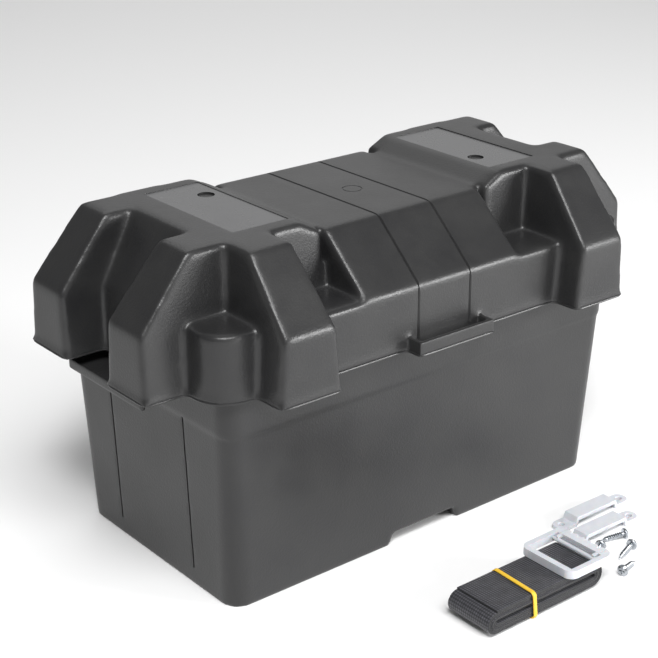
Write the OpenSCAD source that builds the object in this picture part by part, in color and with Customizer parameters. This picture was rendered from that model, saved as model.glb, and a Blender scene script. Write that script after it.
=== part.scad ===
// Battery box with a lift-off lid, standing on the floor beside its tie-down kit.
// The kit is a coiled strap with a cam buckle, two strap brackets and four screws.
// Origin: middle of the tub's foot, on the floor. X runs along the box, Y to its back, Z up.

/* [Box] */
// Length of the lid over its end bosses, just above the edge bead
box_length = 436; // [400:1:525]
// Width of the lid over its two long skirts, without the front bosses
skirt_width = 210; // [180:1:255]
// Height from the floor to the raised ends of the lid
box_height = 248.5; // [205:0.5:300]
// Wall thickness of the lid and the tub
wall = 3; // [2:0.5:4]

/* [Lid] */
// How far the lid's lower edge hangs below its top
lid_depth = 92; // [80:1:110]
// Depth of the skirt's shoulder below the top
shoulder_drop = 47.5; // [40:0.5:56]
// Depth of the middle deck below the raised ends
deck_drop = 9; // [6:0.5:14]
// How far the end bosses stand out past the end skirt
end_boss_reach = 31; // [24:1:36]
// How far the two front bosses stand out past the front skirt
front_boss_reach = 22.5; // [16:0.5:28]
// Length of each front boss along the box, at the top
front_boss_length = 35; // [30:1:42]
// Radius of the round corner posts
post_radius = 21; // [19:0.5:25]
// Height of the round corner posts above the shoulder
post_rise = 2; // [1:0.5:4]
// Spacing of the two thin grooves that mark the strap's path
groove_spacing = 47; // [44:1:60]
// Width of the grooves that mark the strap's path
groove_width = 2; // [1.5:0.1:3]
// Depth of the grooves that mark the strap's path
groove_depth = 1.2; // [0.8:0.1:1.6]
// Diameter of the round spot sunk in each smooth panel
spot_diameter = 12; // [8:0.5:16]
// Width and height of the bead along the lid's lower edge
bead_size = 1.6; // [1:0.1:2.5]

/* [Tub] */
// How far the long walls lean in from the ledge to the floor
side_lean = 6.2; // [4:0.1:9]
// How far the end walls lean in from the ledge to the floor
end_lean = 5.5; // [3:0.1:8]
// Radius of the tub's upright corners
corner_radius = 14; // [11:0.5:17]
// Height of the strap channel under the tub
channel_height = 8.7; // [6:0.1:12]
// Width of the strap channel under the tub
channel_width = 62; // [52:1:70]
// Gap between the tub's rim and the lid that rests on it
seat_gap = 0.1; // [0.05:0.05:0.3]
// Width of the hand grip at each end
grip_width = 90; // [80:1:96]
// How far each hand grip stands out from the end wall
grip_reach = 30; // [24:1:34]

/* [Strap] */
// Width of the webbing
strap_width = 38; // [34:1:41]
// Length of the folded strap
bundle_length = 110; // [96:1:124]
// Thickness of the folded strap
bundle_thickness = 18; // [14:0.5:22]
// Width of the elastic band round the folded strap
band_width = 3.6; // [2.5:0.1:5]
// Thickness of the elastic band
band_thickness = 1.1; // [0.8:0.1:1.5]
// Radius of the buckle lever's pin
pin_radius = 1.5; // [1.2:0.1:1.8]
// Running clearance round the buckle lever's pin
pin_clearance = 0.06; // [0.02:0.01:0.1]

/* [Brackets] */
// Distance between the two screw holes of a strap bracket
hole_spacing = 62; // [58:0.5:70]
// Width of a strap bracket
bracket_width = 13; // [11:0.5:16]
// Diameter of the screw holes in a strap bracket
hole_diameter = 4.6; // [4.4:0.1:5]
// Gap under the raised bar of a strap bracket
strap_slot = 4.6; // [4:0.1:6]
// Thickness of a strap bracket
bracket_plate = 3; // [2.5:0.1:3.6]

/* [Screws] */
// Diameter over the screw thread
thread_diameter = 4.2; // [3.8:0.1:4.3]
// Length of a screw below its head
screw_length = 19; // [16:1:25]
// Diameter of the pan head
head_diameter = 8; // [7:0.1:9]
// Height of the pan head
head_height = 2.8; // [2.2:0.1:3.4]

/* [Hidden] */

eps = 0.01;
black_plastic = "#2b2b2b";
white_plastic = "#f2f2f4";

half_length = box_length / 2;
half_skirt = skirt_width / 2;
top = box_height;
lid_edge = top - lid_depth;
shoulder = top - shoulder_drop;
deck = top - deck_drop;
low = lid_edge - 20;

// Plan of the lid, measured out from the middle
base_half = half_length - end_boss_reach;
boss_slope = 39;
end_boss_top = half_length - boss_slope;
recess_top = end_boss_top - 21;
notch_x = half_length - 67;
end_boss_out = half_skirt - 40.5;
end_boss_in = end_boss_out - 34;
boss_in_x = notch_x - front_boss_length;
plateau_x = half_length - 129;
deck_half = plateau_x - 17;
deck_edge = half_skirt - 42.5;
pocket_front = half_skirt - 47.5;
pocket_back = half_skirt - 52;
front_reach = half_skirt + front_boss_reach;
post_x = base_half - post_radius;
post_y = half_skirt - 3 - post_radius;
loop_out = 14;
loop_half = groove_spacing / 2 + 10.5;
loop_bar = 3.6;
loop_height = 10;

// Plan and heights of the tub
rim_x = base_half - 9.5;
rim_y = half_skirt - 7.5;
ledge = 0.84 * lid_edge;
rim_top = shoulder - wall - seat_gap;
foot_x = rim_x - 2 - end_lean;
foot_y = rim_y - 0.8 - side_lean;
floor_thickness = 4;
grip_top = lid_edge - 8;
grip_plate = 4;
grip_lip = 8;

// The kit lies in front of the long side, clear of the lid
kit_y = -(front_reach + 75);
strap_x = -10;
frame_length = 42;
frame_width = strap_width + 10;
frame_height = 6;
frame_x = bundle_length / 2 - frame_length / 2 + 4;
bundle_z = band_thickness + 0.3;
frame_z = bundle_z + bundle_thickness + 0.3;
opening_length = 29;
pin_x = frame_x + opening_length / 2 - 6;
pin_z = frame_z + frame_height / 2;
band_x = -12;
screw_tilt = atan((head_diameter - thread_diameter) / 2 / (screw_length - 3));

// A prism along X from a polygon of [y, z] points
module along_x(x0, x1, points) {
  translate([x0, 0, 0])
    rotate([90, 0, 90])
      linear_extrude(height = x1 - x0)
        polygon(points);
}

// A prism along Y from a polygon of [x, z] points
module along_y(y0, y1, points) {
  translate([0, y1, 0])
    rotate([90, 0, 0])
      linear_extrude(height = y1 - y0)
        polygon(points);
}

// The same prisms with their outline drawn in by a wall thickness
module inset_x(x0, x1, inset, points) {
  translate([x0, 0, 0])
    rotate([90, 0, 90])
      linear_extrude(height = x1 - x0)
        offset(delta = -inset)
          polygon(points);
}

module inset_y(y0, y1, inset, points) {
  translate([0, y1, 0])
    rotate([90, 0, 0])
      linear_extrude(height = y1 - y0)
        offset(delta = -inset)
          polygon(points);
}

// An upright drafted block with rounded corners
module drafted(x0, y0, z0, x1, y1, z1, radius) {
  hull() {
    for (sx = [-1, 1], sy = [-1, 1]) {
      translate([sx * (x0 - radius), sy * (y0 - radius), z0])
        cylinder(r = radius, h = eps, $fn = 32);
      translate([sx * (x1 - radius), sy * (y1 - radius), z1 - eps])
        cylinder(r = radius, h = eps, $fn = 32);
    }
  }
}

// Skirt of the lid: a cross of three blocks with a round post on each corner
module lid_base(inset) {
  inset_y(-post_y, post_y, inset, [
    [-base_half - 1.2, low],
    [base_half + 1.2, low],
    [base_half - 1, shoulder],
    [-base_half + 1, shoulder]
  ]);
  inset_x(-post_x, post_x, inset, [
    [-half_skirt + 2.2, low],
    [half_skirt - 2.2, low],
    [half_skirt - 3.2, shoulder],
    [-half_skirt + 3.2, shoulder]
  ]);
  inset_x(-notch_x + inset, notch_x - inset, inset, [
    [-half_skirt - 0.6, low],
    [half_skirt + 0.6, low],
    [half_skirt, shoulder],
    [-half_skirt, shoulder]
  ]);
  for (sx = [-1, 1], sy = [-1, 1])
    translate([sx * post_x, sy * post_y, low])
      cylinder(r = post_radius - inset, h = shoulder + post_rise - inset - low, $fn = 64);
}

// Middle deck with its sloped long sides, and the core below the raised ends
module lid_deck(inset) {
  inset_x(-deck_half + 1 + inset, deck_half - 1 - inset, inset, [
    [-half_skirt, low],
    [half_skirt, low],
    [half_skirt, shoulder],
    [deck_edge, deck],
    [-deck_edge, deck],
    [-half_skirt, shoulder]
  ]);
  inset_x(-plateau_x - 10, plateau_x + 10, inset, [
    [-pocket_front, low],
    [pocket_back, low],
    [pocket_back, deck],
    [-pocket_front, deck]
  ]);
}

// Raised end: the recess between the two end bosses
module lid_recess(inset) {
  inset_y(-pocket_front + inset, pocket_back - inset, inset, [
    [deck_half, low],
    [base_half - 1, low],
    [base_half - 1, shoulder - 1],
    [recess_top, top],
    [plateau_x, top],
    [deck_half, deck]
  ]);
}

// Raised end: one end boss, cut from a sloped profile by its drafted sides
module end_boss(inset) {
  intersection() {
    inset_y(0, half_skirt, inset, [
      [deck_half, low],
      [half_length + 0.6, low],
      [half_length, shoulder + 1],
      [end_boss_top, top],
      [plateau_x + 2, top],
      [deck_half + 2, deck]
    ]);
    inset_x(0, half_length + 5, inset, [
      [end_boss_in - 7, low],
      [end_boss_out + 7, low],
      [end_boss_out, top + 0.001],
      [end_boss_in, top + 0.001]
    ]);
  }
}

// Raised end: the front boss, sloped like the end bosses
module front_boss(inset) {
  intersection() {
    inset_x(0, half_length, inset, [
      [-front_reach, low],
      [0, low],
      [0, top],
      [-front_reach + boss_slope + 0.5, top],
      [-front_reach, shoulder + 1]
    ]);
    inset_y(-front_reach - 5, 5, inset, [
      [boss_in_x - 10, low],
      [notch_x + 6, low],
      [notch_x, top + 0.001],
      [boss_in_x, top + 0.001]
    ]);
  }
}

// Raised end: the back slope, which stays inside the back skirt
module back_slope(inset) {
  intersection() {
    inset_x(0, half_length, inset, [
      [0, low],
      [half_skirt, low],
      [half_skirt, shoulder],
      [end_boss_out, top],
      [0, top]
    ]);
    inset_y(-5, half_skirt + 5, inset, [
      [boss_in_x - 8, low],
      [notch_x + 3, low],
      [notch_x, top + 0.001],
      [boss_in_x - 1, top + 0.001]
    ]);
  }
}

module lid_form(inset) {
  lid_base(inset);
  lid_deck(inset);
  for (side = [0, 1])
    mirror([side, 0, 0]) {
      lid_recess(inset);
      front_boss(inset);
      back_slope(inset);
      end_boss(inset);
      mirror([0, 1, 0])
        end_boss(inset);
    }
}

// Outline of the lid's lower edge, for the bead
module edge_outline() {
  square([2 * base_half + 1, 2 * post_y], center = true);
  square([2 * post_x, skirt_width - 5.2], center = true);
  square([2 * notch_x, skirt_width + 0.8], center = true);
  for (sx = [-1, 1], sy = [-1, 1]) {
    translate([sx * post_x, sy * post_y])
      circle(r = post_radius, $fn = 64);
    translate([sx * half_length / 2, sy * (end_boss_in + end_boss_out) / 2])
      square([half_length + 1, end_boss_out - end_boss_in + 11.5], center = true);
  }
  for (sx = [-1, 1])
    translate([sx * (notch_x - front_boss_length / 2 - 1.6), -front_reach / 2])
      square([front_boss_length + 13, front_reach + 0.1], center = true);
}

// The strap loop at the foot of a long skirt
module strap_loop() {
  translate([0, 0, lid_edge])
    linear_extrude(height = loop_height)
      difference() {
        translate([-loop_half, -half_skirt - loop_out])
          square([2 * loop_half, loop_out + 1]);
        translate([-loop_half + loop_bar, -half_skirt - loop_out + loop_bar])
          square([2 * loop_half - 2 * loop_bar, loop_out + 1]);
      }
}

// Two thin slabs where the strap path grooves run
module groove_slabs() {
  for (side = [-1, 1])
    translate([side * groove_spacing / 2 - groove_width / 2, -half_skirt - 5, lid_edge + 5])
      cube([groove_width, skirt_width + 10, lid_depth]);
}

module lid() {
  color(black_plastic)
    difference() {
      union() {
        intersection() {
          lid_form(0);
          translate([-box_length, -box_length, lid_edge])
            cube([2 * box_length, 2 * box_length, lid_depth]);
        }
        translate([0, 0, lid_edge])
          linear_extrude(height = bead_size)
            difference() {
              offset(delta = bead_size)
                edge_outline();
              offset(delta = -1)
                edge_outline();
            }
        strap_loop();
        mirror([0, 1, 0])
          strap_loop();
      }
      lid_form(wall);
      intersection() {
        groove_slabs();
        difference() {
          translate([-groove_spacing, -half_skirt - 4, lid_edge + 2])
            cube([2 * groove_spacing, skirt_width + 8, lid_depth]);
          lid_deck(groove_depth);
        }
      }
      for (turn = [0, 180])
        rotate([0, 0, turn]) {
          translate([plateau_x + 2, -pocket_back + 1.5, top - 0.5])
            cube([45, 2 * pocket_back - 3, 1]);
          translate([plateau_x + 13.5, -pocket_back / 2 + 1, top - 1.2])
            cylinder(d = spot_diameter, h = 2, $fn = 48);
        }
      translate([0, -7, deck - 0.5])
        difference() {
          cylinder(r = 7.5, h = 2, $fn = 48);
          translate([0, 0, -1])
            cylinder(r = 6, h = 4, $fn = 48);
        }
    }
}

// Outline of a hand grip, rounded at its outer corners
module grip_outline() {
  difference() {
    translate([0, -grip_width / 2])
      square([rim_x + grip_reach - wall / 2, grip_width]);
    translate([-1, -grip_width])
      square([rim_x - wall / 2 + 0.3, 2 * grip_width]);
  }
}

module hand_grip() {
  translate([0, 0, grip_top - grip_plate])
    linear_extrude(height = grip_plate)
      grip_outline();
  translate([rim_x + grip_reach - wall / 2 - grip_plate, -grip_width / 2, grip_top - grip_lip])
    cube([grip_plate, grip_width, grip_lip - eps]);
}

module tub() {
  hump_half = channel_width / 2 + channel_height + floor_thickness / 2;
  color(black_plastic)
    difference() {
      union() {
        difference() {
          union() {
            drafted(foot_x, foot_y, 0, rim_x - 2, rim_y - 0.8, ledge, corner_radius);
            drafted(rim_x - 1.2, rim_y - 0.2, ledge - 2, rim_x, rim_y, rim_top, corner_radius);
            for (side = [0, 1])
              mirror([side, 0, 0])
                hand_grip();
          }
          drafted(foot_x - wall, foot_y - wall, floor_thickness,
                  rim_x - wall, rim_y - wall, rim_top + 1, corner_radius - wall);
        }
        along_y(-foot_y + 1, foot_y - 1, [
          [-hump_half, 1],
          [hump_half, 1],
          [hump_half - channel_height, channel_height + floor_thickness],
          [-hump_half + channel_height, channel_height + floor_thickness]
        ]);
        for (sx = [-1, 1])
          translate([sx * foot_x * 0.6 - 2, -foot_y + 12, 1])
            cube([4, 2 * foot_y - 24, channel_height + floor_thickness - 1]);
      }
      along_y(-half_skirt, half_skirt, [
        [-channel_width / 2 - 5, -5],
        [channel_width / 2 + 5, -5],
        [channel_width / 2 + 2, 0],
        [channel_width / 2 - 2, channel_height],
        [-channel_width / 2 + 2, channel_height],
        [-channel_width / 2 - 2, 0]
      ]);
      for (sx = [0, 1], sy = [-1, 1])
        mirror([sx, 0, 0])
          along_y(sy * grip_width / 2 - 0.9, sy * grip_width / 2 + 0.9, [
            [foot_x - 1.2 + end_lean * 13 / ledge, 13],
            [foot_x + 9, 13],
            [rim_x + 5, ledge - 2],
            [rim_x - 3.2, ledge - 2]
          ]);
    }
}

// Folded strap: a flat bundle with round turns at both ends
module strap_webbing() {
  color(black_plastic)
    translate([strap_x, kit_y, bundle_z + bundle_thickness / 2])
      rotate([90, 0, 0])
        linear_extrude(height = strap_width, center = true) {
          square([bundle_length - bundle_thickness, bundle_thickness], center = true);
          for (side = [-1, 1])
            translate([side * (bundle_length - bundle_thickness) / 2, 0])
              circle(d = bundle_thickness, $fn = 48);
        }
}

// Elastic band round the folded strap
module rubber_band() {
  color("#e8c21c")
    translate([strap_x + band_x - band_width / 2, kit_y, bundle_z + bundle_thickness / 2])
      rotate([90, 0, 90])
        linear_extrude(height = band_width)
          difference() {
            square([strap_width + 0.6 + 2 * band_thickness,
                    bundle_thickness + 0.6 + 2 * band_thickness - 0.02], center = true);
            square([strap_width + 0.6, bundle_thickness + 0.6], center = true);
          }
}

// Outline of the buckle frame with its four corners cut off round
module frame_outline() {
  corner = 7;
  square([frame_length, frame_width - 2 * corner], center = true);
  square([frame_length - 2 * corner, frame_width], center = true);
  for (sx = [-1, 1], sy = [-1, 1])
    translate([sx * (frame_length / 2 - corner), sy * (frame_width / 2 - corner)])
      circle(r = corner, $fn = 40);
}

// Buckle frame: a plain ring with bores for the lever's pin in its side rails
module buckle_frame() {
  color(white_plastic)
    translate([strap_x, kit_y, 0])
      difference() {
        translate([frame_x, 0, frame_z])
          difference() {
            linear_extrude(height = frame_height)
              frame_outline();
            translate([-opening_length / 2 - 2, -strap_width / 2 - 1, -1])
              cube([opening_length, strap_width + 2, frame_height + 2]);
            translate([opening_length / 2 - 2 - eps, -strap_width / 2 + 1, frame_height - 2.6])
              cube([frame_length, strap_width - 2, frame_height]);
          }
        translate([pin_x, 0, pin_z])
          rotate([90, 0, 0])
            cylinder(r = pin_radius + pin_clearance, h = frame_width - 4, center = true, $fn = 40);
      }
}

// Buckle lever: a pin, two arms and a toothed thumb lip over the frame's end bar
module buckle_lever() {
  lip = 8;
  lip_x = frame_x + frame_length / 2 - lip - 0.4;
  lip_z = frame_z + frame_height - 2.2;
  lip_thickness = 2.4;
  tooth_pitch = (strap_width - 8) / 5;
  color(white_plastic)
    translate([strap_x, kit_y, 0]) {
      translate([pin_x, 0, pin_z])
        rotate([90, 0, 0])
          cylinder(r = pin_radius, h = frame_width - 4.4, center = true, $fn = 40);
      difference() {
        translate([lip_x, -strap_width / 2 + 1.4, lip_z])
          cube([lip, strap_width - 2.8, lip_thickness]);
        for (i = [-2:2])
          translate([lip_x + lip - 3.6, i * tooth_pitch, lip_z + lip_thickness - 0.9])
            linear_extrude(height = 2)
              polygon([[0, 0], [4, -tooth_pitch / 2 + 0.5], [4, tooth_pitch / 2 - 0.5]]);
      }
      for (side = [-1, 1])
        translate([0, side * (strap_width / 2 - 2.6) - 1.2, 0])
          along_y(0, 2.4, [
            [pin_x - 0.6, pin_z - 0.9],
            [pin_x + 0.9, pin_z - 0.9],
            [pin_x + 3.2, lip_z],
            [lip_x + 1.5, lip_z],
            [lip_x + 1.5, lip_z + lip_thickness],
            [pin_x - 0.6, lip_z + lip_thickness - 0.6]
          ]);
    }
}

// Strap bracket: a footman loop with a raised bar and a screw hole at each end
module strap_bracket() {
  half = hole_spacing / 2 + bracket_width / 2;
  bar_half = strap_width / 2 + 2;
  rise = bracket_plate * 0.6;
  color(white_plastic)
    difference() {
      intersection() {
        along_y(-bracket_width / 2, bracket_width / 2, [
          [-half, 0],
          [-bar_half, 0],
          [-bar_half + rise, strap_slot],
          [bar_half - rise, strap_slot],
          [bar_half, 0],
          [half, 0],
          [half, bracket_plate],
          [bar_half + rise, bracket_plate],
          [bar_half - 0.2, strap_slot + bracket_plate],
          [-bar_half + 0.2, strap_slot + bracket_plate],
          [-bar_half - rise, bracket_plate],
          [-half, bracket_plate]
        ]);
        translate([0, 0, -1])
          linear_extrude(height = strap_slot + bracket_plate + 2) {
            square([hole_spacing, bracket_width], center = true);
            for (side = [-1, 1])
              translate([side * hole_spacing / 2, 0])
                circle(d = bracket_width, $fn = 40);
          }
      }
      for (side = [-1, 1])
        translate([side * hole_spacing / 2, 0, -1])
          cylinder(d = hole_diameter, h = bracket_plate + 2, $fn = 32);
    }
}

module strap_bracket_1() {
  translate([112, kit_y + 52.5, 0])
    strap_bracket();
}

module strap_bracket_2() {
  translate([98, kit_y + 30.5, 0])
    strap_bracket();
}

// Pan-head screw along X, its head at the origin and its point towards +X
module screw() {
  turns = 9;
  core = thread_diameter * 0.34;
  crest = thread_diameter / 2;
  pitch = (screw_length - 4) / turns;
  profile = concat(
    [[0, 0], [head_diameter / 2 - 0.3, 0], [head_diameter / 2, 0.4], [head_diameter / 2, head_height * 0.55],
     [head_diameter * 0.3, head_height]],
    [[0, head_height]]
  );
  thread = concat(
    [[0, -screw_length], [0.3, -screw_length]],
    [for (i = [0:turns - 1]) each [
      [min(core, 0.5 + i), -screw_length + 2.2 + i * pitch],
      [min(crest, 1 + i * 0.8), -screw_length + 2.2 + (i + 0.5) * pitch]
    ]],
    [[core, -1.6], [core + 0.2, 0], [0, 0]]
  );
  color("#b9bcc0")
    rotate([0, -90, 0])
      difference() {
        union() {
          rotate_extrude($fn = 32)
            polygon(profile);
          rotate_extrude($fn = 32)
            polygon(thread);
        }
        for (turn = [0, 90])
          rotate([0, 0, turn])
            translate([-head_diameter * 0.27, -0.5, head_height - 1.3])
              cube([head_diameter * 0.54, 1, 2]);
      }
}

// A screw lying on the floor on the rim of its head and the end of its thread
module lying_screw(x, y, turn) {
  translate([x, y, head_diameter / 2 * cos(screw_tilt) + 0.02])
    rotate([0, 0, turn])
      rotate([0, screw_tilt, 0])
        screw();
}

module screw_1() {
  lying_screw(78, kit_y + 12.5, 205);
}

module screw_2() {
  lying_screw(104, kit_y + 13.5, 160);
}

module screw_3() {
  lying_screw(96, kit_y - 0.5, 195);
}

module screw_4() {
  lying_screw(66, kit_y - 19.5, 15);
}

tub();
lid();
strap_webbing();
rubber_band();
buckle_frame();
buckle_lever();
strap_bracket_1();
strap_bracket_2();
screw_1();
screw_2();
screw_3();
screw_4();
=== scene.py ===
"""A battery box with a lift-off lid, and its tie-down kit on the floor beside it."""
import logging
import math
import random
from dataclasses import dataclass, field
from enum import Enum
from typing import Any, Callable, Iterable

import bmesh
import bpy
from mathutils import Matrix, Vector


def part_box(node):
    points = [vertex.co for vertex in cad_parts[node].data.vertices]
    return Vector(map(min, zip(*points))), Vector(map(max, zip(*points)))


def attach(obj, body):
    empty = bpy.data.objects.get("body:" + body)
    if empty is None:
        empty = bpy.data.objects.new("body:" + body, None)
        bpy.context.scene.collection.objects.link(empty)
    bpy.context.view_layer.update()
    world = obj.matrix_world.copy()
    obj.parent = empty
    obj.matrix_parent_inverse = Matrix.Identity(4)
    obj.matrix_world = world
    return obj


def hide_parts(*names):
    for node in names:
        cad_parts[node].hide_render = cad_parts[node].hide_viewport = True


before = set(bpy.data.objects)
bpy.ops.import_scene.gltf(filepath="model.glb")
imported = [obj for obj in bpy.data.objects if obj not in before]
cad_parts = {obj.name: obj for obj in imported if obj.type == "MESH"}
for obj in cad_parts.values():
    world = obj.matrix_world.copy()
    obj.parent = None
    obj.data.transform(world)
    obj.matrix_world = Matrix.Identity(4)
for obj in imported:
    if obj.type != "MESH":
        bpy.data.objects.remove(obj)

LOG = logging.getLogger("battery_box")
MM = 0.001
Point = tuple[float, float]


# ----------------------------------------------------------------------------------------------------
# Colours and shader nodes
# ----------------------------------------------------------------------------------------------------


def linear(hex_colour: str) -> tuple[float, float, float, float]:
    """Turns an sRGB hex colour into linear values.

    Args:
        hex_colour: The colour, such as "#3A3B3C".

    Returns:
        Red, green, blue and an alpha of one.
    """
    channels = [int(hex_colour[i:i + 2], 16) / 255 for i in (1, 3, 5)]
    red, green, blue = [c / 12.92 if c <= 0.04045 else ((c + 0.055) / 1.055) ** 2.4 for c in channels]
    return (red, green, blue, 1.0)


def add_node(tree: bpy.types.NodeTree, kind: str, settings: dict[str, Any] | None = None,
             inputs: dict[Any, Any] | None = None) -> bpy.types.Node:
    """Adds one shader node with its settings and links.

    Args:
        tree: The material's or the world's node tree.
        kind: The node's type name.
        settings: Values of the node's own properties.
        inputs: For each input, by name or number, a value or the socket that feeds it.

    Returns:
        The new node.
    """
    node = tree.nodes.new(kind)
    for name, value in (settings or {}).items():
        setattr(node, name, value)
    for key, value in (inputs or {}).items():
        if isinstance(value, bpy.types.NodeSocket):
            tree.links.new(value, node.inputs[key])
        else:
            node.inputs[key].default_value = value
    return node


def new_material(name: str) -> tuple[bpy.types.Material, bpy.types.NodeTree, bpy.types.Node]:
    """Starts a material.

    Args:
        name: The material's name.

    Returns:
        The material, its node tree and its surface shader.
    """
    made = bpy.data.materials.new(name)
    made.use_nodes = True
    return made, made.node_tree, made.node_tree.nodes["Principled BSDF"]


class Moulding(Enum):
    """How the face of the mould was finished where the plastic met it."""

    GRAINED = "grained"
    # The satin finish also carries a painted sheen: its colour is lighter than the plastic's own black.
    SATIN_PAINTED_SHEEN = "satin"


@dataclass(frozen=True)
class Polypropylene:
    """Black polypropylene, injection moulded: a dark, slightly waxy plastic with the grain of its mould, and
    on the satin panels a painted sheen.
    """

    moulding: Moulding = Moulding.GRAINED
    grain_mm: float = 1.5
    # The satin colours are lighter than the grained ones only to stand in for the shine of the polished
    # panels: a painted sheen.
    colours_and_painted_sheen: tuple[tuple[Moulding, tuple[str, str]], ...] = (
        (Moulding.GRAINED, ("#222223", "#292929")), (Moulding.SATIN_PAINTED_SHEEN, ("#4C4C4D", "#545455")))
    grain_heights_mm: tuple[tuple[Moulding, float], ...] = ((Moulding.GRAINED, 0.075), (Moulding.SATIN_PAINTED_SHEEN, 0.01))
    roughnesses: tuple[tuple[Moulding, float], ...] = ((Moulding.GRAINED, 0.36), (Moulding.SATIN_PAINTED_SHEEN, 0.27))

    def material(self) -> bpy.types.Material:
        """Makes the material.

        Returns:
            A material with the mould's leather-like grain and a colour that drifts a little over the wall;
            the satin one is painted lighter, a painted sheen.
        """
        # For the satin panels this pair of colours is a painted sheen.
        colour_low, colour_high = dict(self.colours_and_painted_sheen)[self.moulding]
        grain_height = dict(self.grain_heights_mm)[self.moulding]
        roughness = dict(self.roughnesses)[self.moulding]
        made, tree, shader = new_material(f"polypropylene_moulded_{self.moulding.value}")
        place = add_node(tree, "ShaderNodeTexCoord").outputs["Object"]
        # Slow streaks where the melt flowed from the gate, tens of millimetres wide.
        flow = add_node(tree, "ShaderNodeTexNoise", inputs={
            "Vector": place, "Scale": 1 / (45 * MM), "Detail": 4.0, "Roughness": 0.6}).outputs["Fac"]
        # The grain: rounded cells a little over a millimetre wide, broken up by finer pits.
        cells = add_node(tree, "ShaderNodeTexVoronoi", {"feature": "SMOOTH_F1"}, {
            "Vector": place, "Scale": 1 / (self.grain_mm * MM), "Smoothness": 0.6}).outputs["Distance"]
        pits = add_node(tree, "ShaderNodeTexNoise", inputs={
            "Vector": place, "Scale": 1.6 / (self.grain_mm * MM), "Detail": 3.0}).outputs["Fac"]
        height = add_node(tree, "ShaderNodeMath", {"operation": "ADD"}, {0: cells, 1: pits}).outputs[0]
        colour = add_node(tree, "ShaderNodeMix", {"data_type": "RGBA"}, {
            0: add_node(tree, "ShaderNodeMapRange", inputs={
                "Value": flow, "From Min": 0.3, "From Max": 0.7}).outputs[0],
            6: linear(colour_low), 7: linear(colour_high)}).outputs[2]
        tree.links.new(colour, shader.inputs["Base Color"])
        # Handling polishes the high spots a little, so gloss varies with the same slow streaks.
        gloss = add_node(tree, "ShaderNodeMapRange", inputs={
            "Value": flow, "From Min": 0.3, "From Max": 0.7,
            "To Min": roughness - 0.04, "To Max": roughness + 0.05}).outputs[0]
        tree.links.new(gloss, shader.inputs["Roughness"])
        bump = add_node(tree, "ShaderNodeBump", inputs={
            "Strength": 1.0, "Distance": grain_height * MM, "Height": height}).outputs["Normal"]
        tree.links.new(bump, shader.inputs["Normal"])
        shader.inputs["IOR"].default_value = 1.49
        return made


@dataclass(frozen=True)
class WovenPolypropylene:
    """Polypropylene webbing, woven flat: black yarns that shine a little where they lie on top; that shine is
    a painted sheen, a lighter colour on the crowns.
    """

    name: str = "polypropylene_webbing_woven"
    colour: str = "#0F0F13"
    # The colour of the yarns' crowns: a painted sheen on black yarn.
    painted_yarn_sheen_colour: str = "#6A6A72"
    yarn_mm: float = 1.9
    pick_mm: float = 2.1
    yarn_height_mm: float = 0.25

    def material(self) -> bpy.types.Material:
        """Makes the material.

        Returns:
            A material with a plain weave laid out in the strap's own width and length, in metres.
        """
        made, tree, shader = new_material(self.name)
        place = add_node(tree, "ShaderNodeUVMap", {"uv_map": "cloth"}).outputs[0]
        split = add_node(tree, "ShaderNodeSeparateXYZ", inputs={0: place})
        waves = []
        for axis, pitch in ((0, self.yarn_mm), (1, self.pick_mm)):
            turned = add_node(tree, "ShaderNodeMath", {"operation": "MULTIPLY"}, {
                0: split.outputs[axis], 1: math.pi / (pitch * MM)}).outputs[0]
            waves.append(add_node(tree, "ShaderNodeMath", {"operation": "SINE"}, {0: turned}).outputs[0])
        # The yarns crown where both waves are high, so their product makes the small checks of the weave.
        over = add_node(tree, "ShaderNodeMath", {"operation": "MULTIPLY"}, {
            0: waves[0], 1: waves[1]}).outputs[0]
        height = add_node(tree, "ShaderNodeMath", {"operation": "ABSOLUTE"}, {0: over}).outputs[0]
        mottle = add_node(tree, "ShaderNodeTexNoise", inputs={
            "Vector": place, "Scale": 1 / (6 * MM), "Detail": 3.0}).outputs["Fac"]
        # The crowns of the yarns, where the weave is high, are painted lighter than the black yarn: a painted
        # sheen, broken up by the mottle.
        shade = add_node(tree, "ShaderNodeMath", {"operation": "MULTIPLY"}, {0: height, 1: mottle}).outputs[0]
        colour = add_node(tree, "ShaderNodeMix", {"data_type": "RGBA"}, {
            0: shade, 6: linear(self.colour), 7: linear(self.painted_yarn_sheen_colour)}).outputs[2]
        tree.links.new(colour, shader.inputs["Base Color"])
        bump = add_node(tree, "ShaderNodeBump", inputs={
            "Strength": 1.0, "Distance": self.yarn_height_mm * MM, "Height": height}).outputs["Normal"]
        tree.links.new(bump, shader.inputs["Normal"])
        shader.inputs["Roughness"].default_value = 0.62
        shader.inputs["Sheen Weight"].default_value = 0.25
        shader.inputs["Sheen Roughness"].default_value = 0.4
        return made


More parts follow.
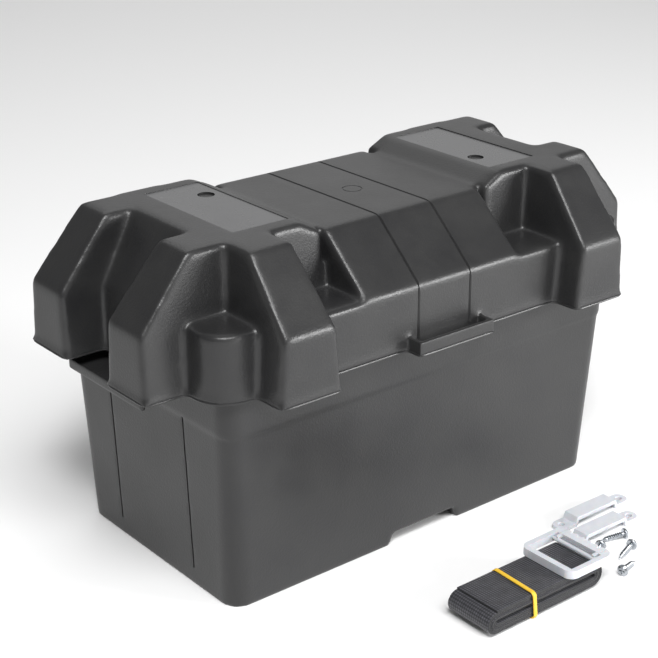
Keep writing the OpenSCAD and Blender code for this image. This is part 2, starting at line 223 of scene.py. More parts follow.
@dataclass(frozen=True)
class LatexRubber:
    """Natural latex rubber, cut from a dipped tube: soft yellow with a dull, slightly dusty face."""

    name: str = "latex_rubber_cut"
    colour: str = "#D9A70F"
    dust_colour: str = "#E9C64A"
    dust_mm: float = 1.4

    def material(self) -> bpy.types.Material:
        """Makes the material.

        Returns:
            A matt yellow material with a fine powder that stays in its pores.
        """
        made, tree, shader = new_material(self.name)
        place = add_node(tree, "ShaderNodeTexCoord").outputs["Object"]
        dust = add_node(tree, "ShaderNodeTexNoise", inputs={
            "Vector": place, "Scale": 1 / (self.dust_mm * MM), "Detail": 4.0}).outputs["Fac"]
        colour = add_node(tree, "ShaderNodeMix", {"data_type": "RGBA"}, {
            0: dust, 6: linear(self.colour), 7: linear(self.dust_colour)}).outputs[2]
        tree.links.new(colour, shader.inputs["Base Color"])
        bump = add_node(tree, "ShaderNodeBump", inputs={
            "Strength": 0.6, "Distance": 0.05 * MM, "Height": dust}).outputs["Normal"]
        tree.links.new(bump, shader.inputs["Normal"])
        shader.inputs["Roughness"].default_value = 0.58
        shader.inputs["Subsurface Weight"].default_value = 0.15
        shader.inputs["Subsurface Scale"].default_value = 0.6 * MM
        return made


@dataclass(frozen=True)
class Nylon:
    """White nylon, injection moulded: bright, a little glossy, with sink marks that bend its reflections."""

    name: str = "nylon_moulded_white"
    colour: str = "#CFD1D6"
    shade_colour: str = "#BEC1C7"
    ripple_mm: float = 7.0
    speck_mm: float = 0.8

    def material(self) -> bpy.types.Material:
        """Makes the material.

        Returns:
            A white plastic with slow ripples and a fine satin of its mould.
        """
        made, tree, shader = new_material(self.name)
        place = add_node(tree, "ShaderNodeTexCoord").outputs["Object"]
        ripple = add_node(tree, "ShaderNodeTexNoise", inputs={
            "Vector": place, "Scale": 1 / (self.ripple_mm * MM), "Detail": 2.0}).outputs["Fac"]
        satin = add_node(tree, "ShaderNodeTexNoise", inputs={
            "Vector": place, "Scale": 1 / (self.speck_mm * MM), "Detail": 2.0}).outputs["Fac"]
        colour = add_node(tree, "ShaderNodeMix", {"data_type": "RGBA"}, {
            0: ripple, 6: linear(self.colour), 7: linear(self.shade_colour)}).outputs[2]
        tree.links.new(colour, shader.inputs["Base Color"])
        slow = add_node(tree, "ShaderNodeBump", inputs={
            "Strength": 0.5, "Distance": 0.15 * MM, "Height": ripple}).outputs["Normal"]
        bump = add_node(tree, "ShaderNodeBump", inputs={
            "Strength": 0.5, "Distance": 0.02 * MM, "Height": satin, "Normal": slow}).outputs["Normal"]
        tree.links.new(bump, shader.inputs["Normal"])
        shader.inputs["Roughness"].default_value = 0.3
        shader.inputs["IOR"].default_value = 1.53
        shader.inputs["Subsurface Weight"].default_value = 0.2
        shader.inputs["Subsurface Scale"].default_value = 1.0 * MM
        return made


@dataclass(frozen=True)
class ZincPlatedSteel:
    """Steel wire, headed and rolled, then zinc plated: bright silver, clouded where the bath dulled it."""

    name: str = "zinc_plated_steel_rolled"
    colour: str = "#C3C6CA"
    dull_colour: str = "#9EA3A8"
    cloud_mm: float = 2.0

    def material(self) -> bpy.types.Material:
        """Makes the material.

        Returns:
            A metal with soft clouds in its colour and its roughness.
        """
        made, tree, shader = new_material(self.name)
        place = add_node(tree, "ShaderNodeTexCoord").outputs["Object"]
        cloud = add_node(tree, "ShaderNodeTexNoise", inputs={
            "Vector": place, "Scale": 1 / (self.cloud_mm * MM), "Detail": 4.0}).outputs["Fac"]
        colour = add_node(tree, "ShaderNodeMix", {"data_type": "RGBA"}, {
            0: cloud, 6: linear(self.colour), 7: linear(self.dull_colour)}).outputs[2]
        gloss = add_node(tree, "ShaderNodeMapRange", inputs={
            "Value": cloud, "To Min": 0.18, "To Max": 0.42}).outputs[0]
        bump = add_node(tree, "ShaderNodeBump", inputs={
            "Strength": 0.4, "Distance": 0.03 * MM, "Height": cloud}).outputs["Normal"]
        tree.links.new(colour, shader.inputs["Base Color"])
        tree.links.new(gloss, shader.inputs["Roughness"])
        tree.links.new(bump, shader.inputs["Normal"])
        shader.inputs["Metallic"].default_value = 1.0
        return made


@dataclass(frozen=True)
class PaintedFloor:
    """A studio floor, rolled with matt white paint: pale, with no shine of its own."""

    name: str = "matt_paint_rolled"
    colour: str = "#F4F4F4"

    def material(self) -> bpy.types.Material:
        """Makes the material.

        Returns:
            A matt white with a faint roller texture.
        """
        made, tree, shader = new_material(self.name)
        place = add_node(tree, "ShaderNodeTexCoord").outputs["Object"]
        nap = add_node(tree, "ShaderNodeTexNoise", inputs={
            "Vector": place, "Scale": 1 / (3 * MM), "Detail": 2.0}).outputs["Fac"]
        bump = add_node(tree, "ShaderNodeBump", inputs={
            "Strength": 0.1, "Distance": 0.05 * MM, "Height": nap}).outputs["Normal"]
        tree.links.new(bump, shader.inputs["Normal"])
        shader.inputs["Base Color"].default_value = linear(self.colour)
        shader.inputs["Roughness"].default_value = 0.9
        return made


# ----------------------------------------------------------------------------------------------------
# Mesh tools
# ----------------------------------------------------------------------------------------------------


def new_object(name: str, mesh: bpy.types.Mesh) -> bpy.types.Object:
    """Links a new object that holds a mesh.

    Args:
        name: The piece's name.
        mesh: Its mesh, in metres in the row frame.

    Returns:
        The object.
    """
    made = bpy.data.objects.new(name, mesh)
    bpy.context.scene.collection.objects.link(made)
    return made


def copy_of_node(node: str, name: str) -> bpy.types.Object:
    """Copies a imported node's mesh into a new piece.

    Args:
        node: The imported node's name.
        name: The new piece's name.

    Returns:
        The new piece, with no material yet and its doubled points merged.
    """
    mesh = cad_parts[node].data.copy()
    mesh.materials.clear()
    shape = bmesh.new()
    shape.from_mesh(mesh)
    bmesh.ops.remove_doubles(shape, verts=shape.verts, dist=0.002 * MM)
    shape.to_mesh(mesh)
    shape.free()
    return new_object(name, mesh)


def apply_modifiers(piece: bpy.types.Object) -> None:
    """Turns a piece's modifiers into its mesh.

    Args:
        piece: The piece.
    """
    graph = bpy.context.evaluated_depsgraph_get()
    mesh = bpy.data.meshes.new_from_object(piece.evaluated_get(graph))
    piece.modifiers.clear()
    piece.data = mesh


def round_off(piece: bpy.types.Object, voxel: float, passes: int, shares: Callable[[Vector], Point],
              keep_faces: float) -> None:
    """Rounds every edge of a moulding, inside and outside, as draft and radii do.

    Args:
        piece: The piece, a closed shell.
        voxel: The size of the cells that rebuild its skin, in metres.
        passes: How many times the skin is relaxed; more passes give larger radii.
        shares: Gives each point's share of the relaxing, in every direction and in plan only, from 0 to 1.
        keep_faces: The share of the faces that is kept at the end.
    """
    remesh = piece.modifiers.new("skin", "REMESH")
    remesh.mode = "VOXEL"
    remesh.voxel_size = voxel
    apply_modifiers(piece)
    groups = [piece.vertex_groups.new(name=name) for name in ("all_ways", "in_plan")]
    for vertex in piece.data.vertices:
        for group, share in zip(groups, shares(vertex.co)):
            group.add([vertex.index], share, "REPLACE")
    for group in groups:
        relax = piece.modifiers.new(group.name, "SMOOTH")
        relax.factor = 0.5
        relax.iterations = passes
        relax.vertex_group = group.name
        relax.use_z = group.name == "all_ways"
    thin = piece.modifiers.new("thin", "DECIMATE")
    thin.ratio = keep_faces
    apply_modifiers(piece)
    piece.vertex_groups.clear()


def solid(name: str, points: Iterable[Vector], faces: Iterable[tuple[int, ...]]) -> bpy.types.Object:
    """Makes an object from points and faces, with its normals outwards.

    Args:
        name: Its name.
        points: Its points, in metres.
        faces: For each face, the numbers of its points.

    Returns:
        The object.
    """
    mesh = bpy.data.meshes.new(name)
    mesh.from_pydata(list(points), [], list(faces))
    shape = bmesh.new()
    shape.from_mesh(mesh)
    bmesh.ops.recalc_face_normals(shape, faces=shape.faces)
    shape.to_mesh(mesh)
    shape.free()
    return new_object(name, mesh)


def slot_cutter(name: str, outline: list[Point], along: tuple[float, float], axis: int) -> bpy.types.Object:
    """Makes a prism that cuts a slot.

    Args:
        name: The cutter's name.
        outline: Its closed outline, in metres, in the two axes other than the given one.
        along: Where it starts and ends on the axis.
        axis: 0 for a prism along X, 1 for one along Y, 2 for one along Z.

    Returns:
        The cutter.
    """
    count = len(outline)
    points = []
    for end in along:
        for a, b in outline:
            place = [a, b]
            place.insert(axis, end)
            points.append(Vector(place))
    sides = [(i, (i + 1) % count, count + (i + 1) % count, count + i) for i in range(count)]
    ends = [tuple(range(count)), tuple(range(count, 2 * count))]
    return solid(name, points, sides + ends)


def cut(piece: bpy.types.Object, cutters: list[bpy.types.Object]) -> None:
    """Cuts the cutters out of a piece, one after the other, and removes them.

    Args:
        piece: The piece that is cut.
        cutters: Closed solids.
    """
    for number, cutter in enumerate(cutters):
        step = piece.modifiers.new(f"cut_{number}", "BOOLEAN")
        step.operation = "DIFFERENCE"
        step.solver = "MANIFOLD"
        step.object = cutter
    apply_modifiers(piece)
    for cutter in cutters:
        bpy.data.objects.remove(cutter)


def fuse(piece: bpy.types.Object, other: bpy.types.Object) -> None:
    """Joins another closed solid to a piece and removes it.

    Args:
        piece: The piece that grows.
        other: The solid that becomes part of it.
    """
    step = piece.modifiers.new("fuse", "BOOLEAN")
    step.operation = "UNION"
    step.solver = "MANIFOLD"
    step.object = other
    apply_modifiers(piece)
    bpy.data.objects.remove(other)


def outer_outline(piece: bpy.types.Object, height: float, spacing: float) -> list[Vector]:
    """Slices a piece level and takes the largest outline.

    Args:
        piece: The piece.
        height: Where it is sliced.
        spacing: The distance between the outline's points.

    Returns:
        The closed outline's points, evenly spaced and eased.
    """
    shape = bmesh.new()
    shape.from_mesh(piece.data)
    sliced = bmesh.ops.bisect_plane(shape, geom=shape.verts[:] + shape.edges[:] + shape.faces[:], dist=1e-7,
                                    plane_co=(0, 0, height), plane_no=(0, 0, 1))
    shape.verts.index_update()
    links: dict[int, list[int]] = {}
    places: dict[int, Vector] = {}
    for item in sliced["geom_cut"]:
        if isinstance(item, bmesh.types.BMEdge):
            a, b = item.verts
            links.setdefault(a.index, []).append(b.index)
            links.setdefault(b.index, []).append(a.index)
            places[a.index], places[b.index] = a.co.copy(), b.co.copy()
    shape.free()
    outlines: list[list[Vector]] = []
    unused = set(links)
    for start in sorted(links):
        if start not in unused:
            continue
        walk = [start]
        unused.discard(start)
        while True:
            ahead = [n for n in links[walk[-1]] if n in unused]
            if not ahead:
                break
            walk.append(ahead[0])
            unused.discard(ahead[0])
        outlines.append([places[n] for n in walk])
    rough = max(outlines, key=lambda line: max(p.x for p in line) - min(p.x for p in line))
    lengths = [(rough[n] - rough[n - 1]).length for n in range(len(rough))]
    total = sum(lengths)
    count = round(total / spacing)
    even: list[Vector] = []
    passed, number = 0.0, 0
    for step in range(count):
        while passed + lengths[(number + 1) % len(rough)] < total * step / count:
            number += 1
            passed += lengths[number % len(rough)]
        share = (total * step / count - passed) / max(lengths[(number + 1) % len(rough)], 1e-9)
        even.append(rough[number % len(rough)].lerp(rough[(number + 1) % len(rough)], share))
    for _ in range(2):
        even = [(even[n - 1] + 2 * even[n] + even[(n + 1) % count]) / 4 for n in range(count)]
    return even


def keep_inside(piece: bpy.types.Object, node: str) -> None:
    """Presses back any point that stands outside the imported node's box.

    Args:
        piece: The piece.
        node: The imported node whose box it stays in.
    """
    low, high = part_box(node)
    for vertex in piece.data.vertices:
        vertex.co = Vector([min(max(at, a), b) for at, a, b in zip(vertex.co, low, high)])


def smooth(piece: bpy.types.Object, degrees: float) -> None:
    """Shades a piece smoothly, apart from its sharp edges.

    Args:
        piece: The piece.
        degrees: The angle above which an edge is sharp.
    """
    piece.data.polygons.foreach_set("use_smooth", [True] * len(piece.data.polygons))
    piece.data.set_sharp_from_angle(angle=math.radians(degrees))


def dress(piece: bpy.types.Object, *materials: bpy.types.Material) -> None:
    """Gives a piece its materials, the first one everywhere unless its faces say otherwise.

    Args:
        piece: The piece.
        materials: Its materials, in slot order.
    """
    piece.data.materials.clear()
    for material in materials:
        piece.data.materials.append(material)


# ----------------------------------------------------------------------------------------------------
# The box
# ----------------------------------------------------------------------------------------------------


@dataclass
class Lid:
    """The lift-off lid: raised ends with bosses and corner posts, and a lower deck for the strap."""

    voxel_mm: float = 1.25
    relax_passes: int = 55
    deck_drop_mm: float = 9.0
    shoulder_drop_mm: float = 47.5
    deck_edge_inset_mm: float = 42.5
    skirt_mm: float = 105.0
    groove_spacing_mm: float = 47.0
    groove_width_mm: float = 2.2
    groove_depth_mm: float = 1.2
    bead_mm: float = 1.7
    loop_half_length_mm: float = 36.0
    loop_height_mm: float = 12.0
    loop_share: float = 0.02
    plan_zone_mm: float = 9.0
    groove_clear_mm: float = 6.0
    cutter_over_mm: float = 3.0
    panel_inner_mm: float = 91.0
    panel_length_mm: float = 45.0
    panel_half_width_mm: float = 51.5
    panel_depth_mm: float = 0.9
    spot_diameter_mm: float = 12.0
    spot_depth_mm: float = 2.2
    spot_from_panel_mm: tuple[float, float] = (11.5, 25.5)
    ring_radii_mm: tuple[float, float] = (6.4, 7.3)
    ring_depth_mm: float = 0.35
    ring_forward_mm: float = 7.0
    piece: bpy.types.Object | None = field(default=None, init=False)

    def build(self) -> None:
        """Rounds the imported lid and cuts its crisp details."""
        low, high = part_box("lid")
        edge = low.z
        self.piece = copy_of_node("lid", "lid_moulding")

        def shares(place: Vector) -> Point:
            """Rounds the lower edge in plan only, and keeps the strap loops crisp.

            Args:
                place: A point of the lid.

            Returns:
                Its share of the relaxing in every direction, and in plan only.
            """
            loop = abs(place.y) > self.skirt_mm * MM + 1 * MM and abs(place.x) < self.loop_half_length_mm * MM
            if loop and place.z < edge + self.loop_height_mm * MM:
                return (self.loop_share, self.loop_share)
            rise = min(1.0, max(0.0, (place.z - edge - 2 * MM) / (self.plan_zone_mm * MM)))
            return (rise, 1 - rise)

        round_off(self.piece, self.voxel_mm * MM, self.relax_passes, shares, 0.3)
        cutters = [self._groove(side, edge, high.z) for side in (-1, 1)]
        cutters += [self._panel(side, high.z) for side in (-1, 1)]
        cutters += [self._spot(side, high.z) for side in (-1, 1)]
        cutters.append(self._ring(high.z))
        bead = self._bead(edge)
        cut(self.piece, cutters)
        fuse(self.piece, bead)
        keep_inside(self.piece, "lid")
        smooth(self.piece, 32)

    def _bead(self, edge: float) -> bpy.types.Object:
        """Sweeps the thin round bead along the outside of the skirt's lower edge.

        Args:
            edge: The height of the lid's lower edge.

        Returns:
            The bead, a closed ring.
        """
        radius = self.bead_mm / 2 * MM
        outline = outer_outline(self.piece, edge + 2 * self.bead_mm * MM, 1.5 * MM)
        sides, count = 8, len(outline)
        points, faces = [], []
        for number, place in enumerate(outline):
            along = (outline[(number + 1) % count] - outline[number - 1]).normalized()
            for turn in range(sides):
                angle = math.tau * turn / sides
                out = radius * math.cos(angle)
                points.append(Vector((place.x + along.y * out, place.y - along.x * out,
                                      edge + radius * (1 + math.sin(angle)))))
        for number in range(count):
            a, b = sides * number, sides * ((number + 1) % count)
            faces += [(a + k, a + (k + 1) % sides, b + (k + 1) % sides, b + k) for k in range(sides)]
        return solid("bead", points, faces)

    def _groove(self, side: int, edge: float, top: float) -> bpy.types.Object:
        """Makes the cutter of one thin V groove over the deck and down both long sides.

        Args:
            side: Minus one for the left groove, one for the right.
            edge: The height of the lid's lower edge.
            top: The height of its raised ends.

        Returns:
            The cutter.
        """
        deck, shoulder = top - self.deck_drop_mm * MM, top - self.shoulder_drop_mm * MM
        skirt, lip = self.skirt_mm * MM, (self.skirt_mm - self.deck_edge_inset_mm) * MM
        depth, out = self.groove_depth_mm * MM, 2 * MM
        foot = edge + self.groove_clear_mm * MM
        path = [(-skirt, foot), (-skirt, shoulder), (-lip, deck),
                (lip, deck), (skirt, shoulder), (skirt, foot)]
        middle = side * self.groove_spacing_mm / 2 * MM
        half = self.groove_width_mm / 2 * MM * (1 + out / depth)
        points, faces = [], []
        for y, z in path:
            rise = 1 if z >= shoulder else 0
            tip = Vector((middle, y - math.copysign(depth, y), z - depth * rise))
            over = Vector((middle, y + math.copysign(out, y), z + out * rise))
            points += [tip, over - Vector((half, 0, 0)), over + Vector((half, 0, 0))]
        for step in range(len(path) - 1):
            a, b = 3 * step, 3 * step + 3
            faces += [(a + k, a + (k + 1) % 3, b + (k + 1) % 3, b + k) for k in range(3)]
        last = 3 * len(path) - 3
        return solid("groove", points, faces + [(0, 1, 2), (last, last + 1, last + 2)])

    def _panel(self, side: int, top: float) -> bpy.types.Object:
        """Makes the cutter of the shallow smooth panel on one raised end.

        Args:
            side: Minus one for the left end, one for the right.
            top: The height of the raised ends.

        Returns:
            The cutter.
        """
        a, b = self.panel_inner_mm * MM, (self.panel_inner_mm + self.panel_length_mm) * MM
        half = self.panel_half_width_mm * MM
        outline = [(side * a, -half), (side * b, -half), (side * b, half), (side * a, half)]
        reach = (top - self.panel_depth_mm * MM, top + self.cutter_over_mm * MM)
        return slot_cutter("panel", outline, reach, 2)

    def _spot(self, side: int, top: float) -> bpy.types.Object:
        """Makes the cutter of the round spot in one panel.

        Args:
            side: Minus one for the left end, one for the right.
            top: The height of the raised ends.

        Returns:
            The cutter.
        """
        inwards, sideways = self.spot_from_panel_mm
        middle = Vector((side * (self.panel_inner_mm + inwards) * MM, -side * sideways * MM))
        radius = self.spot_diameter_mm / 2 * MM
        outline = [(middle.x + radius * math.cos(a), middle.y + radius * math.sin(a))
                   for a in (math.tau * i / 40 for i in range(40))]
        reach = (top - self.spot_depth_mm * MM, top + self.cutter_over_mm * MM)
        return slot_cutter("spot", outline, reach, 2)

    def _ring(self, top: float) -> bpy.types.Object:
        """Makes the cutter of the faint plain ring that the mould's ejector left on the deck.

        Args:
            top: The height of the raised ends.

        Returns:
            The cutter.
        """
        deck = top - self.deck_drop_mm * MM
        steps = 56
        points, faces = [], []
        inner, outer = self.ring_radii_mm
        low, high = deck - self.ring_depth_mm * MM, deck + MM
        for step in range(steps):
            angle = math.tau * step / steps
            for radius, z in ((inner, low), (outer, low), (outer, high), (inner, high)):
                points.append(Vector((radius * MM * math.cos(angle),
                                      -self.ring_forward_mm * MM + radius * MM * math.sin(angle), z)))
        for step in range(steps):
            a, b = 4 * step, 4 * ((step + 1) % steps)
            faces += [(a + k, a + (k + 1) % 4, b + (k + 1) % 4, b + k) for k in range(4)]
        return solid("ring", points, faces)

    def dress(self, grained: bpy.types.Material, satin: bpy.types.Material) -> None:
        """Gives the lid its grain, and the two panels their satin with its painted sheen.

        Args:
            grained: The plastic as the textured mould left it.
            satin: The plastic as the polished inserts left it, with a painted sheen in its lighter colour.
        """
        dress(self.piece, grained, satin)
        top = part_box("lid")[1].z
        start, end = self.panel_inner_mm * MM, (self.panel_inner_mm + self.panel_length_mm) * MM
        floor = top - self.panel_depth_mm * MM
        for face in self.piece.data.polygons:
            middle = face.center
            in_panel = start < abs(middle.x) < end and abs(middle.y) < self.panel_half_width_mm * MM
            if in_panel and abs(middle.z - floor) < 0.1 * MM and face.normal.z > 0.9:
                face.material_index = 1
        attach(self.piece, "lid")
        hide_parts("lid")


@dataclass
class Tub:
    """The drafted tub with its seat ledge, hand grips and the strap channel under its floor."""

    voxel_mm: float = 1.4
    relax_passes: int = 7
    groove_width_mm: float = 1.5
    groove_depth_mm: float = 1.0
    groove_half_spacing_mm: float = 45.0
    foot_mm: float = 170.0
    ledge_mm: float = 175.5
    ledge_height_mm: float = 131.5
    piece: bpy.types.Object | None = field(default=None, init=False)

    def build(self) -> None:
        """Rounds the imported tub's edges and cuts the four upright grooves of its end walls."""
        self.piece = copy_of_node("tub", "tub_moulding")
        round_off(self.piece, self.voxel_mm * MM, self.relax_passes, lambda place: (1.0, 0.0), 0.25)
        cut(self.piece, [self._groove(end, side) for end in (-1, 1) for side in (-1, 1)])
        keep_inside(self.piece, "tub")
        smooth(self.piece, 32)

    def _groove(self, end: int, side: int) -> bpy.types.Object:
        """Makes the cutter of one groove, which follows the lean of its end wall.

        Args:
            end: Minus one for the left end, one for the right.
            side: Minus one for the front groove, one for the back.

        Returns:
            The cutter.
        """
        low, high = 13.0, self.ledge_height_mm - 3
        lean = (self.ledge_mm - self.foot_mm) / self.ledge_height_mm
        wall_low, wall_high = self.foot_mm + lean * low, self.foot_mm + lean * high
        outline = [(end * x * MM, z * MM) for x, z in (
            (wall_low - self.groove_depth_mm, low), (wall_low + 6, low),
            (wall_high + 6, high), (wall_high - self.groove_depth_mm, high))]
        middle = side * self.groove_half_spacing_mm * MM
        half = self.groove_width_mm / 2 * MM
        return slot_cutter("groove", outline, (middle - half, middle + half), 1)

    def dress(self, grained: bpy.types.Material) -> None:
        """Gives the tub its plastic.

        Args:
            grained: The plastic as the textured mould left it.
        """
        dress(self.piece, grained)
        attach(self.piece, "box")
        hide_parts("tub")



@dataclass
class FoldedStrap:
    """The webbing strap, folded flat on itself into a bundle."""

    width_mm: float = 38.0
    thickness_mm: float = 1.2
    layer_mm: float = 1.42
    turns: int = 5
    arc_steps: int = 14
    straight_steps: int = 20
    piece: bpy.types.Object | None = field(default=None, init=False)
    length: float = field(default=0.0, init=False)

    def path(self) -> list[Point]:
        """Works out the strap's middle line.

        Returns:
            Points in X and Z, in metres, from the outer end inwards.
        """
        low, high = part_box("strap_webbing")
        middle_x, middle_z = (low.x + high.x) / 2, (low.z + high.z) / 2
        outer = (high.z - low.z) / 2 - self.thickness_mm / 2 * MM
        half = (high.x - low.x) / 2 - (high.z - low.z) / 2
        steps: list[Point] = []
        turn_steps = 2 * (self.arc_steps + self.straight_steps)
        for number in range(self.turns * turn_steps):
            radius = outer - self.layer_mm * MM * number / turn_steps
            within = number % turn_steps
            lap, rest = divmod(within, turn_steps // 2)
            flip = 1 if lap == 0 else -1
            if rest < self.straight_steps:
                x, z = -half + 2 * half * rest / self.straight_steps, radius
            else:
                angle = math.pi / 2 - math.pi * (rest - self.straight_steps) / self.arc_steps
                x, z = half + radius * math.cos(angle), radius * math.sin(angle)
            steps.append((middle_x + flip * x, middle_z + flip * z))
        return steps

    def build(self) -> None:
        """Makes the ribbon, with its width and length laid out for the weave."""
        low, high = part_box("strap_webbing")
        middle_y = (low.y + high.y) / 2
        draw = random.Random(5)
        path = self.path()
        columns = 8
        shape = bmesh.new()
        layout = shape.loops.layers.uv.new("cloth")
        along = 0.0
        rows, distances = [], []
        drift = [draw.uniform(-0.5, 0.5) * MM for _ in range(2 * self.turns + 2)]
        per_side = len(path) / (2 * self.turns)
        for number, (x, z) in enumerate(path):
            if number:
                along += math.dist(path[number - 1], (x, z))
            side, share = divmod(number / per_side, 1)
            shift = drift[int(side)] * (1 - share) + drift[int(side) + 1] * share
            rows.append([shape.verts.new((x, middle_y + shift + self.width_mm * MM * (c / columns - 0.5), z))
                         for c in range(columns + 1)])
            distances.append(along)
        for r in range(len(rows) - 1):
            for c in range(columns):
                face = shape.faces.new((rows[r][c], rows[r][c + 1], rows[r + 1][c + 1], rows[r + 1][c]))
                face.smooth = True
                for loop, (row, column) in zip(face.loops, ((r, c), (r, c + 1), (r + 1, c + 1), (r + 1, c))):
                    loop[layout].uv = (self.width_mm * MM * column / columns, distances[row])
        mesh = bpy.data.meshes.new("strap_ribbon")
        shape.to_mesh(mesh)
        shape.free()
        self.length = along
        self.piece = new_object("folded_strap", mesh)
        thicken = self.piece.modifiers.new("thickness", "SOLIDIFY")
        thicken.thickness = self.thickness_mm * MM
        thicken.offset = 0.0
        edge = self.piece.modifiers.new("selvedge", "BEVEL")
        edge.width = 0.35 * MM
        edge.segments = 2
        edge.limit_method = "ANGLE"
        edge.angle_limit = math.radians(60)

    def dress(self, webbing: bpy.types.Material) -> None:
        """Args:
            webbing: The woven material.
        """
        dress(self.piece, webbing)
        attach(self.piece, "strap")
        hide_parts("strap_webbing")


@dataclass
class ElasticBand:
    """The rubber band round the folded strap, a little slanted and pulled tight over its edges."""

    width_mm: float = 3.2
    thickness_mm: float = 1.0
    slant_mm: float = 2.4
    corner_mm: float = 3.0
    piece: bpy.types.Object | None = field(default=None, init=False)

    def build(self) -> None:
        """Sweeps the band's flat section round the bundle."""
        low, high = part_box("rubber_band")
        middle = (low + high) / 2
        inset = self.thickness_mm / 2 * MM
        half_y, half_z = (high.y - low.y) / 2 - inset, (high.z - low.z) / 2 - inset
        corner = self.corner_mm * MM
        loop: list[Point] = []
        for turn, (sy, sz) in enumerate(((1, 1), (-1, 1), (-1, -1), (1, -1))):
            for step in range(9):
                angle = math.pi / 2 * (turn + step / 8)
                loop.append((sy * (half_y - corner) + corner * math.cos(angle),
                             sz * (half_z - corner) + corner * math.sin(angle)))
        shape = bmesh.new()
        rings = []
        half_w, half_t = self.width_mm / 2 * MM, self.thickness_mm / 2 * MM
        section = [(half_w * a, half_t * b) for a, b in
                   ((-1, -0.5), (-0.8, -1), (0.8, -1), (1, -0.5), (1, 0.5), (0.8, 1), (-0.8, 1), (-1, 0.5))]
        for number, (y, z) in enumerate(loop):
            before, after = loop[number - 1], loop[(number + 1) % len(loop)]
            along = Vector((after[0] - before[0], after[1] - before[1])).normalized()
            out = Vector((along.y, -along.x))
            slant = self.slant_mm * MM * y / half_y * (0.35 if z > 0 else -0.35)
            rings.append([shape.verts.new((middle.x + slant + w, middle.y + y + out.x * t,
                                           middle.z + z + out.y * t)) for w, t in section])
        for ring, after in zip(rings, rings[1:] + rings[:1]):
            for k in range(len(section)):
                n = (k + 1) % len(section)
                shape.faces.new((ring[k], ring[n], after[n], after[k])).smooth = True
        bmesh.ops.recalc_face_normals(shape, faces=shape.faces)
        mesh = bpy.data.meshes.new("band")
        shape.to_mesh(mesh)
        shape.free()
        self.piece = new_object("elastic_band", mesh)

    def dress(self, rubber: bpy.types.Material) -> None:
        """Gives the band its rubber.

        Args:
            rubber: The rubber.
        """
        dress(self.piece, rubber)
        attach(self.piece, "strap")
        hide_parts("rubber_band")


@dataclass
class Hardware:
    """The small hard parts: the cam buckle, the strap brackets and the screws, with their edges broken."""

    edge_mm: dict[str, float] = field(default_factory=lambda: {
        "buckle_frame": 0.7, "buckle_lever": 0.35, "strap_bracket_1": 0.6, "strap_bracket_2": 0.6,
        "screw_1": 0.12, "screw_2": 0.12, "screw_3": 0.12, "screw_4": 0.12})

    def build(self) -> None:
        """Breaks each part's edges with a small round, inside its own size."""
        for name, width in self.edge_mm.items():
            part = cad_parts[name]
            weld = part.modifiers.new("weld", "WELD")
            weld.merge_threshold = 0.005 * MM
            edge = part.modifiers.new("broken_edges", "BEVEL")
            edge.width = width * MM
            edge.segments = 3
            edge.limit_method = "ANGLE"
            edge.angle_limit = math.radians(35)
            edge.harden_normals = True

    def dress(self, nylon: bpy.types.Material, steel: bpy.types.Material) -> None:
        """Gives the buckle and brackets their nylon, and the screws their steel.

        Args:
            nylon: The white plastic.
            steel: The plated metal.
        """
        for name in self.edge_mm:
            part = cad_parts[name]
            material = steel if name.startswith("screw") else nylon
            if not part.material_slots:
                part.data.materials.append(material)
            for place in part.material_slots:
                place.material = material


# ----------------------------------------------------------------------------------------------------
# The studio
# ----------------------------------------------------------------------------------------------------


@dataclass(frozen=True)
class Lamp:
    """A soft box: a square area lamp aimed at the middle of the box."""

    name: str
    place: tuple[float, float, float]
    size: float
    watts: float


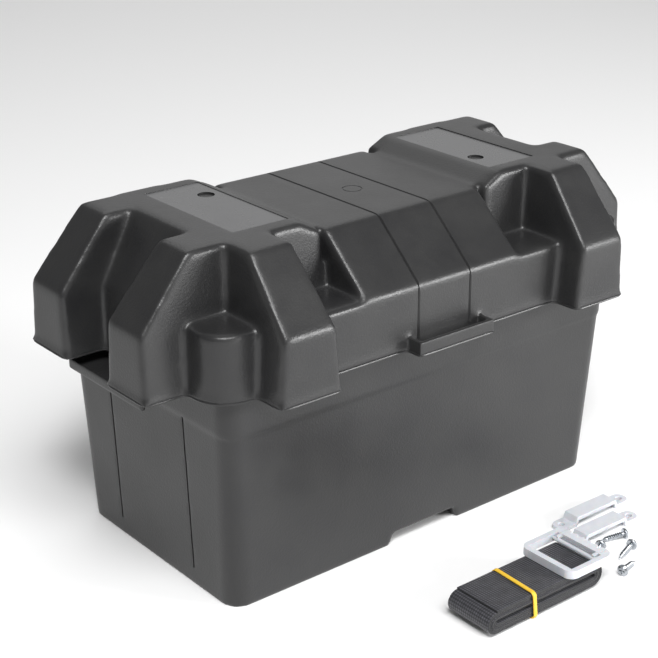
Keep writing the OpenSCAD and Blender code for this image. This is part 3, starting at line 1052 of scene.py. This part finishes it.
@dataclass
class Studio:
    """A white floor, soft boxes overhead and in front, and the camera."""

    camera_place: tuple[float, float, float] = (-0.687181, -0.825191, 0.576827)
    camera_down_degrees: float = 22.6056
    camera_azimuth_degrees: float = -39.1523
    lens_mm: float = 86.482
    sensor_mm: float = 36.0
    sky_strength: float = 0.2
    lamps: tuple[Lamp, ...] = (
        Lamp("overhead_front_soft_box", (-0.6, -1.6, 2.6), 1.6, 75.0),
        Lamp("overhead_back_soft_box", (0.9, 1.8, 2.6), 2.0, 15.0),
        Lamp("low_right_soft_box", (1.5, -2.0, 0.62), 0.7, 50.0),
        Lamp("low_front_soft_box", (0.1, -2.0, 0.35), 1.0, 5.0),
        Lamp("key_soft_box", (-0.95, -1.08, 1.85), 0.4, 18.0),
        Lamp("back_soft_box", (1.9, 2.2, 1.05), 1.7, 4.5),
    )

    def build(self) -> None:
        """Makes the floor, the lamps, the sky and the camera."""
        scene = bpy.context.scene
        floor = solid("studio_floor", [Vector((x, y, 0.0)) for x, y in ((-9, -9), (9, -9), (9, 9), (-9, 9))],
                      [(0, 1, 2, 3)])
        dress(floor, PaintedFloor().material())
        for lamp in self.lamps:
            data = bpy.data.lights.new(lamp.name, "AREA")
            data.energy = lamp.watts
            data.size = lamp.size
            made = bpy.data.objects.new(lamp.name, data)
            made.location = lamp.place
            made.rotation_euler = (Vector((0, 0, 0.15)) - made.location).to_track_quat("-Z", "Y").to_euler()
            scene.collection.objects.link(made)
        world = bpy.data.worlds.new("studio_sky")
        world.use_nodes = True
        sky = world.node_tree.nodes["Background"]
        sky.inputs["Color"].default_value = linear("#FFFFFF")
        sky.inputs["Strength"].default_value = self.sky_strength
        scene.world = world
        scene.view_settings.view_transform = "Standard"
        lens = bpy.data.cameras.new("camera")
        lens.lens = self.lens_mm
        lens.sensor_width = self.sensor_mm
        camera = bpy.data.objects.new("camera", lens)
        camera.location = self.camera_place
        camera.rotation_euler = (math.radians(90 - self.camera_down_degrees), 0.0,
                                 math.radians(self.camera_azimuth_degrees))
        scene.collection.objects.link(camera)
        scene.camera = camera


def main() -> None:
    """Builds and dresses every piece in order."""
    logging.basicConfig(level=logging.INFO, format="%(name)s: %(message)s")
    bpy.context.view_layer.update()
    Studio().build()
    grained = Polypropylene().material()
    # The satin panels' lighter colour is a painted sheen.
    satin = Polypropylene(Moulding.SATIN_PAINTED_SHEEN).material()
    nylon = Nylon().material()
    lid, tub, strap, band, hardware = Lid(), Tub(), FoldedStrap(), ElasticBand(), Hardware()
    for assembly in (lid, tub, strap, band, hardware):
        assembly.build()
        LOG.info("built %s", type(assembly).__name__)
    lid.dress(grained, satin)
    tub.dress(grained)
    band.dress(LatexRubber().material())
    strap.dress(WovenPolypropylene().material())
    hardware.dress(nylon, ZincPlatedSteel().material())
    LOG.info("strap is %.3f m long", strap.length)


if __name__ == "__main__":
    main()
